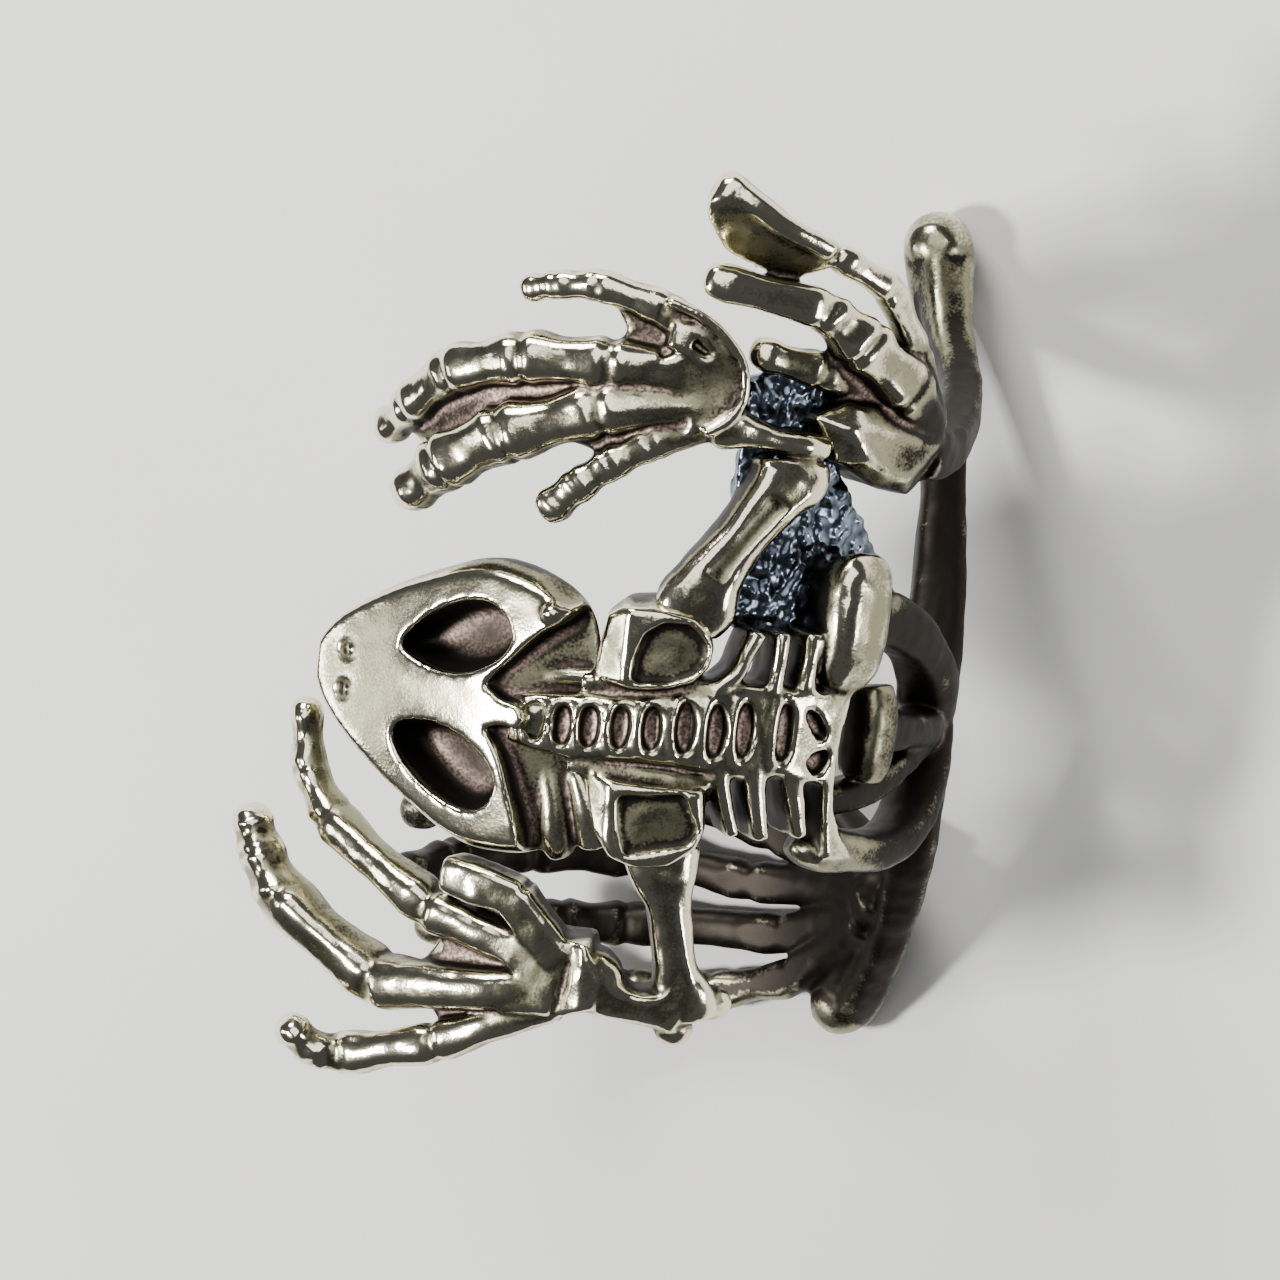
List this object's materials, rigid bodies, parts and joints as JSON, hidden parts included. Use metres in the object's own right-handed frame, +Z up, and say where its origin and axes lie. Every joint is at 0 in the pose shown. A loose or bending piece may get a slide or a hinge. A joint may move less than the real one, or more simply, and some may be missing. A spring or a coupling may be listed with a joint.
{
  "type": "frog skeleton ring",
  "caption": "Wrap ring cast in yellow metal as a frog's skeleton: skull, spine and splayed limbs curl round an open finger hollow.",
  "frame": {"origin": "on the finger's axis, level with the middle of the frog's spine", "axes": "+Y along the finger towards the upper hand and knee, +Z up when the ring rests on its knees and lower hind foot"},
  "size_m": [0.0238, 0.0362, 0.0235],
  "materials": {
    "skeleton_ring": "cast, polished on the high places and darkened in the recesses"
  },
  "bodies": {
    "root": {"skeleton_ring": "skeleton_ring"}
  },
  "joints": []
}
